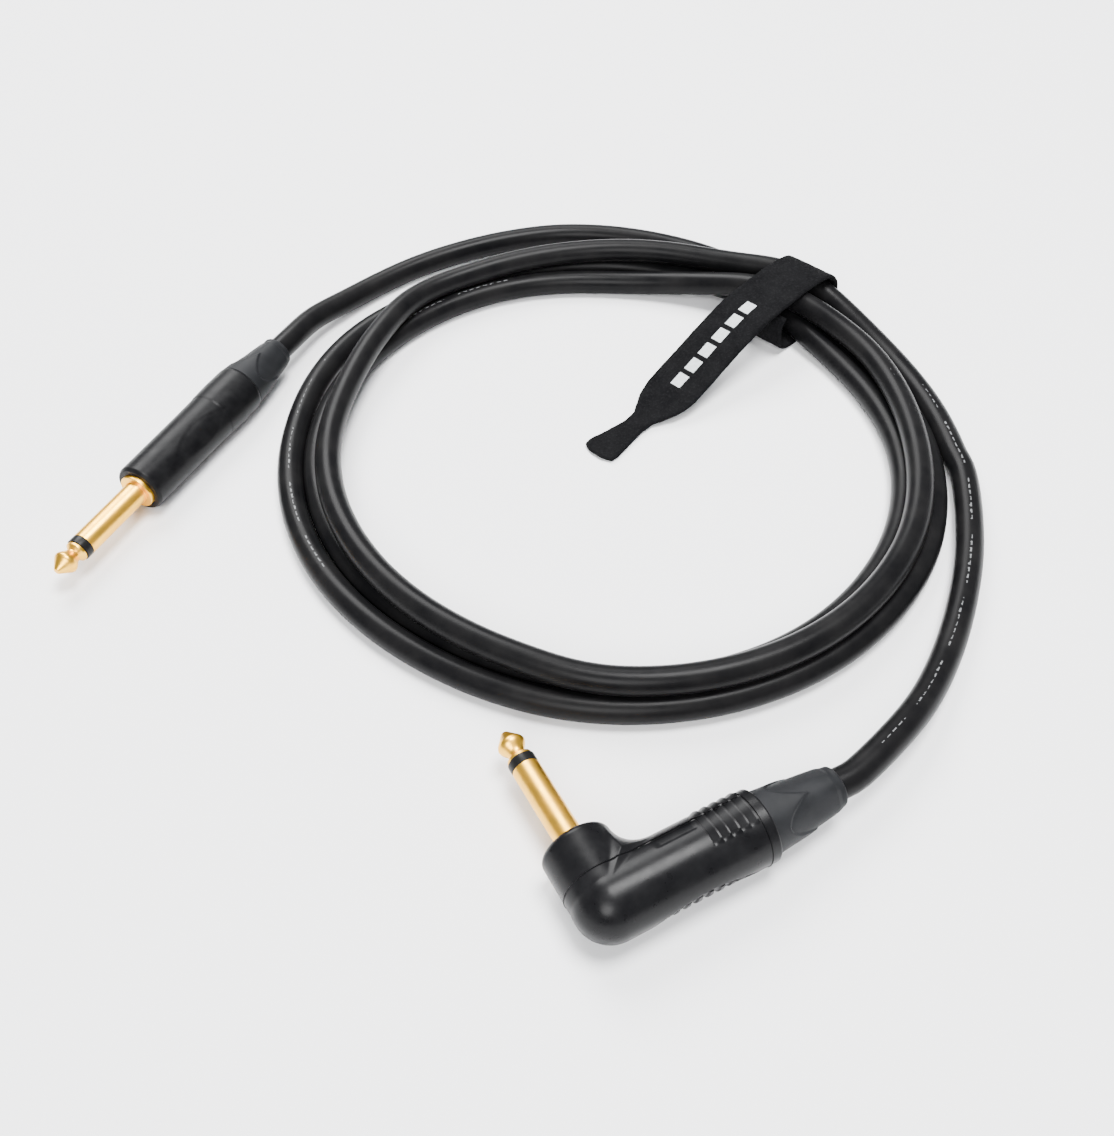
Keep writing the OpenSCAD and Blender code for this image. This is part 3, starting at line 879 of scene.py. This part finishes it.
def outline_reach(section):
    """How far each ray goes until it meets the outside."""
    beyond, halvings = 20.0, 24
    near, far = np.zeros(BODY_SIDES), np.full(BODY_SIDES, beyond)
    for _ in range(halvings):
        middle = (near + far) / 2
        inside = outside_distance(rays(section, middle)) < 0
        near, far = np.where(inside, middle, near), np.where(inside, far, middle)
    return near


def grip_ribs(x, around):
    """Height of five saw teeth across the front and top of the body."""
    first, pitch, count = 22.0, 2.15, 5
    rise, sunk, flank = 0.55, 0.22, 0.8
    front_from, front_to, top_from, top_to = -62, -54, 106, 112
    on_ribs = ease(around, front_from, front_to) * (1 - ease(around, top_from, top_to))
    tooth = np.clip((x - first) / pitch % 1 / flank, 0, 1)
    in_row = (x > first) & (x < first + pitch * count)
    return on_ribs * np.where(in_row, rise * tooth - sunk, 0)


def cover_step(x, y, z):
    """A shallow step along the top, from a line on the cover up to the seam."""
    depth, line_at, fades_from, fades_to = 0.14, 2.1, 20.5, 21.5
    on_body = ease(x, ELBOW + 0.3, ELBOW + 2) * (1 - ease(x, fades_from, fades_to))
    return -depth * ((y > line_at) & (y < SEAM_AT) & (z > 0)) * on_body


def leaf_hollow(x, around):
    """A long leaf-shaped hollow on the rear side, with plain cross bars in it."""
    leaf_from, leaf_l, leaf_half, blunt, middle = 5.0, 25.5, 3.8, 0.7, 200
    depth, edge_l = 0.7, 0.35
    bar_h, bar_pitch, bars_from, bars_to = 0.45, 2.6, 9, 28
    margin_from, margin_to = 0.7, 1.0
    f = np.clip((x - leaf_from) / leaf_l, 0, 1)
    aside = np.abs(np.radians((around - middle + 180) % 360 - 180)) * BODY_R
    leaf = leaf_half * np.sin(math.pi * f) ** blunt - aside
    hollow = -depth * ease(leaf, 0, edge_l)
    on_bar = ease(leaf, margin_from, margin_to) * ease(np.sin(TAU * x / bar_pitch), 0.1, 0.5)
    return hollow + bar_h * on_bar * (x > bars_from) * (x < bars_to)


def body_relief(p):
    """Height of the ribs, the step and the hollow over the plain outside."""
    x, y, z = p
    around = np.degrees(np.arctan2(z, y))
    on_body = np.where(x > ELBOW / 2, grip_ribs(x, around) + cover_step(x, y, z), 0)
    return on_body + leaf_hollow(x, around)


def head_edge(section):
    """How much the head's face and the collar's end are rounded at a section."""
    (x, y), _, _ = section
    face_round, end_round = 1.5, 0.4
    at_face = max(0, y - (HEAD_L - face_round))
    at_end = max(0, x - (BODY_L - end_round))
    return (face_round - math.sqrt(max(face_round**2 - at_face**2, 0))
            + end_round - math.sqrt(max(end_round**2 - at_end**2, 0)))


def make_elbow():
    """The whole housing and cover as one closed tube: the outside, and back along the bore."""
    sections = elbow_sections()
    outer, inner = [], []
    for section in sections:
        reach = outline_reach(section)
        reach = reach + body_relief(rays(section, reach)) - head_edge(section)
        outer.append(rays(section, reach).T)
        inner.append(rays(section, np.full(BODY_SIDES, section[2])).T)
    rings = outer + inner[::-1]
    faces = grid_faces(len(rings), BODY_SIDES, closed_rows=True, closed_columns=True)
    mesh = bpy.data.meshes.new("elbow")
    mesh.from_pydata([tuple(v) for v in np.concatenate(rings)], [], faces)
    return mesh


def cut_off(bm, point, beyond, bevel=0.16):
    """Removes what lies beyond a plane, bevels the cut's rim and closes it."""
    same_point = 1e-5
    point, beyond = Vector(point), Vector(beyond)
    for back, clear in ((bevel, False), (0, True)):
        whole = bm.verts[:] + bm.edges[:] + bm.faces[:]
        made = bmesh.ops.bisect_plane(
            bm,
            geom=whole,
            plane_co=point - back * beyond,
            plane_no=beyond,
            clear_outer=clear,
            dist=same_point,
        )
    bm.normal_update()
    rim = [v for v in made["geom_cut"] if isinstance(v, bmesh.types.BMVert)]
    normals = [v.normal - v.normal.dot(beyond) * beyond for v in rim]
    for v, normal in zip(rim, normals):
        v.co -= normal * bevel
    edges = [e for e in made["geom_cut"] if isinstance(e, bmesh.types.BMEdge)]
    bmesh.ops.triangle_fill(bm, edges=edges, use_beauty=True)


def elbow_part(elbow, *cuts):
    """Part of the elbow that's left after the cuts."""
    bm = bmesh.new()
    bm.from_mesh(elbow)
    for point, beyond in cuts:
        cut_off(bm, point, beyond)
    part = bpy.data.meshes.new("part")
    bm.to_mesh(part)
    bm.free()
    return part


def joined(first, second):
    """One mesh of two."""
    bm = bmesh.new()
    bm.from_mesh(first)
    bm.from_mesh(second)
    bm.to_mesh(first)
    bm.free()
    return first


def make_angle_body():
    """Housing with its collar, and cover, cut from one elbow along the seam."""
    elbow = make_elbow()
    gap = 0.03
    before_collar = ((COLLAR_AT - gap, 0, 0), (1, 0, 0))
    front = elbow_part(elbow, ((0, SEAM_AT + gap, 0), (0, -1, 0)), before_collar)
    collar = elbow_part(elbow, ((COLLAR_AT + gap, 0, 0), (-1, 0, 0)))
    rear = elbow_part(elbow, ((0, SEAM_AT - gap, 0), (0, 1, 0)), before_collar)
    for name, mesh in (("angle_housing", joined(front, collar)), ("angle_cover", rear)):
        mesh.transform(AT_ANGLE)
        add_piece(finished(name + "_moulded", mesh, GLOSSY), "root", "black_shell", name)


make_angle_body()

# ---- Strap ----

TAPE_T = 1.4
TAPE_HALF = 8.25
TAPE_STEP = 0.6
# The tail's middle line and half widths, repeated from part.scad's, in the strap's own millimetres
TAIL_LINE = [(-86.5, 0.8), (-77, 0.85), (-68, 1.3), (-58, 3.3), (-46, 7.3), (-34, 11.7), (-24, 14.6)]
TAIL_HALF_WIDTHS = [(-87, 4.4), (-86.3, 5.1), (-84, 5.3), (-78, 4.2), (-72, 3.3), (-68, 3.6), (-62, 6.8),
                    (-57, 8.15), (-50, TAPE_HALF)]
# The tape hangs loose on the inner side of the bundle, round these points
LOOSE = [(-13.4, 5.2), (-13.9, 9.0)]
# How far the tape's inner end lies to one side of its tail
SLANT = -1.2


def tape_line():
    """Middle line of the tape, from the tail's end over the bundle and round it: (out, across, up)."""
    slack, off_floor, soften_steps = 0.15, 0.05, 14
    first_turn, last_turn, turn_step = 100, -238, -3
    slant_from, slant_by = 105, 45
    local = np.array([AT_STRAP.inverted() @ Vector(p) for p in cable_line])
    near_across, near_out = TAPE_HALF + 1, LOOP_OUTER + 3
    near = (np.abs(local[:, 1]) < near_across) & (np.abs(local[:, 0]) < near_out)
    bundle = np.vstack([local[near][:, [0, 2]], LOOSE])
    reach = CABLE_R + TAPE_T / 2 + slack
    over = []
    for turn in np.radians(np.arange(first_turn, last_turn, turn_step)):
        away = np.array([math.cos(turn), math.sin(turn)])
        out, up = bundle[np.argmax(bundle @ away)] + reach * away
        over.append((out, 0, max(up, TAPE_T / 2 + off_floor)))
    line = evenly(np.vstack([[(x, 0, z) for x, z in TAIL_LINE], over]), TAPE_STEP)
    for _ in range(soften_steps):
        line[1:-1] = 0.5 * line[1:-1] + 0.25 * (line[:-2] + line[2:])
    count = len(line)
    line[:, 1] = SLANT * ease(np.arange(count), count - slant_from, count - slant_by)
    return evenly(line, TAPE_STEP)


def tape_section(half_width, half_thickness):
    """Outline across the tape, flat with round edges: (across, up)."""
    columns, edge = 24, 5
    across = np.linspace(-1, 1, columns) * (half_width - half_thickness)
    top = [(a, half_thickness) for a in across]
    turns = [math.pi / 2 - math.pi * (i + 1) / (edge + 1) for i in range(edge)]
    side = [(across[-1] + half_thickness * math.cos(t), half_thickness * math.sin(t)) for t in turns]
    bottom = [(-a, -h) for a, h in top]
    return np.array(top + side + bottom + [(-a, -h) for a, h in side])


def tape_rows():
    """Points round the tape's section, row by row along the tape."""
    tail_l, off_floor = 60, 0.02
    end_round, end_thin = 0.9, 0.08
    bow_h, bow_l = 1.4, 9
    line = tape_line()
    ahead = np.gradient(line, axis=0)
    ahead /= np.linalg.norm(ahead, axis=1)[:, None]
    known = np.array(TAIL_HALF_WIDTHS)
    reached = np.arange(len(line)) * TAPE_STEP
    rows = []
    for point, forward, along in zip(line, ahead, reached):
        half = np.interp(point[0], known[:, 0], known[:, 1]) if along < tail_l else TAPE_HALF
        from_end = min(along, reached[-1] - along)
        rounded = math.sqrt(1 - (1 - min(from_end / end_round, 1)) ** 2)
        section = tape_section(half, TAPE_T / 2 * (rounded * (1 - end_thin) + end_thin))
        up = np.array([-forward[2], 0, forward[0]])
        bow = bow_h * (1 - ease(along, 0, bow_l)) * (1 - (section[:, 0] / half) ** 2)
        flat = point + np.outer(section[:, 0], (0, 1, 0)) + np.outer(section[:, 1], up)
        rows.append(flat - np.outer(bow, forward))
    grid = np.array(rows)
    grid[..., 2] = np.maximum(grid[..., 2], off_floor)
    return grid


def make_strap():
    """The whole strap: tape with its brushed surface, fibres and UV."""
    grid = tape_rows()
    columns = grid.shape[1]
    faces = grid_faces(len(grid), columns, closed_columns=True)
    faces.append(tuple(range(columns - 1, -1, -1)))
    faces.append(tuple(range((len(grid) - 1) * columns, len(grid) * columns)))
    strap = mesh_object("strap_tape", grid.reshape(-1, 3), faces, FABRIC, AT_STRAP)
    fuzz(strap)
    add_strap_uv(strap, columns)
    add_hairs(strap)
    return strap


def fuzz(strap):
    """Small tufts all over the brushed tape."""
    height, fine_size, coarse_size, off_floor = 0.1, 0.9, 4, 0.01
    mesh = strap.data
    mesh.update()
    moved = []
    for vertex in mesh.vertices:
        fine = noise.noise(vertex.co / MM / fine_size)
        coarse = noise.noise(vertex.co / MM / coarse_size)
        moved.append(vertex.co + vertex.normal * (height * fine + height * coarse) * MM)
    for vertex, tufted in zip(mesh.vertices, moved):
        tufted.z = max(tufted.z, off_floor * MM)
        vertex.co = tufted


def add_hairs(strap, count=4200):
    """Short loose fibres that stand off the brushed tape, as slim three-cornered blades."""
    lean_spread, half_width, shortest, longest, off_floor = 0.6, 0.03, 0.25, 0.6, 0.02
    random = np.random.default_rng(7)
    mesh = strap.data
    mesh.update()
    bm = bmesh.new()
    bm.from_mesh(mesh)
    roots = list(bm.verts)
    for k in random.integers(0, len(roots), count):
        root = roots[k]
        lean = Vector(random.normal(0, lean_spread, 3))
        across = root.normal.cross(lean).normalized() * half_width * MM
        tip = root.co + (root.normal + lean).normalized() * random.uniform(shortest, longest) * MM
        tip.z = max(tip.z, off_floor * MM)
        bm.faces.new([bm.verts.new(p) for p in (root.co - across, root.co + across, tip)])
    bm.to_mesh(mesh)
    bm.free()


def add_strap_uv(strap, columns):
    """UV in metres along the tape, and a number across it."""
    uv = strap.data.uv_layers.new(name="UVMap")
    for face in strap.data.polygons:
        corners = [strap.data.loops[i].vertex_index for i in face.loop_indices]
        across = [c % columns / columns for c in corners]
        if max(across) - min(across) > 0.5:
            across = [a + 1 if a < 0.5 else a for a in across]
        for loop, corner, side in zip(face.loop_indices, corners, across):
            uv.data[loop].uv = (corner // columns * TAPE_STEP * MM, side)


strap = make_strap()
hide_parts("strap_loop", "strap_tail")
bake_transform(strap)

# ---- CAD nodes that stay, all inside the plugs ----

KEPT = {
    "insulator": WHITE_PLASTIC,
    "tip_lug": TIN,
    "ground_lug": TIN,
    "chuck": GREY_PLASTIC,
    "core": WHITE_PLASTIC,
    "shield": COPPER,
}
for side in ("straight", "angle"):
    for name, material in KEPT.items():
        node = frame["nodes"][side + "_" + name]
        node.data.materials.clear()
        node.data.materials.append(material)

# ---- Floor and light ----

# Name, place, width in metres and power in watts of each lamp. All of them point at the coil
LAMPS = [
    ("window", (-0.35, 1.0, 1.1), 0.9, 41),
    ("top", (0.3, 0.1, 1.5), 0.7, 57),
    ("front", (-0.2, -1.1, 1.0), 0.8, 27),
]


def make_floor():
    """Plain pale paper."""
    half = 3.0
    floor = bpy.data.meshes.new("floor")
    corners = [(-half, -half, 0), (half, -half, 0), (half, half, 0), (-half, half, 0)]
    floor.from_pydata(corners, [], [(0, 1, 2, 3)])
    paint = Paint("floor_paper", (0.93, 0.93, 0.94), 0.9)
    floor.materials.append(paint.material)
    made = bpy.data.objects.new("floor", floor)
    bpy.context.collection.objects.link(made)


def area_light(name, location, size, power):
    """Round soft lamp that points at the origin."""
    light = bpy.data.lights.new(name, "AREA")
    light.shape = "DISK"
    light.size = size
    light.energy = power
    made = bpy.data.objects.new(name, light)
    made.location = location
    made.rotation_mode = "QUATERNION"
    made.rotation_quaternion = (-Vector(location)).to_track_quat("-Z", "Y")
    bpy.context.collection.objects.link(made)


def make_light():
    """Even studio light from all round, and the lamps."""
    world = bpy.data.worlds.new("studio")
    world.use_nodes = True
    background = world.node_tree.nodes["Background"]
    background.inputs["Color"].default_value = (0.93, 0.96, 1, 1)
    background.inputs["Strength"].default_value = 0.45
    bpy.context.scene.world = world
    for lamp in LAMPS:
        area_light(*lamp)


make_floor()
make_light()
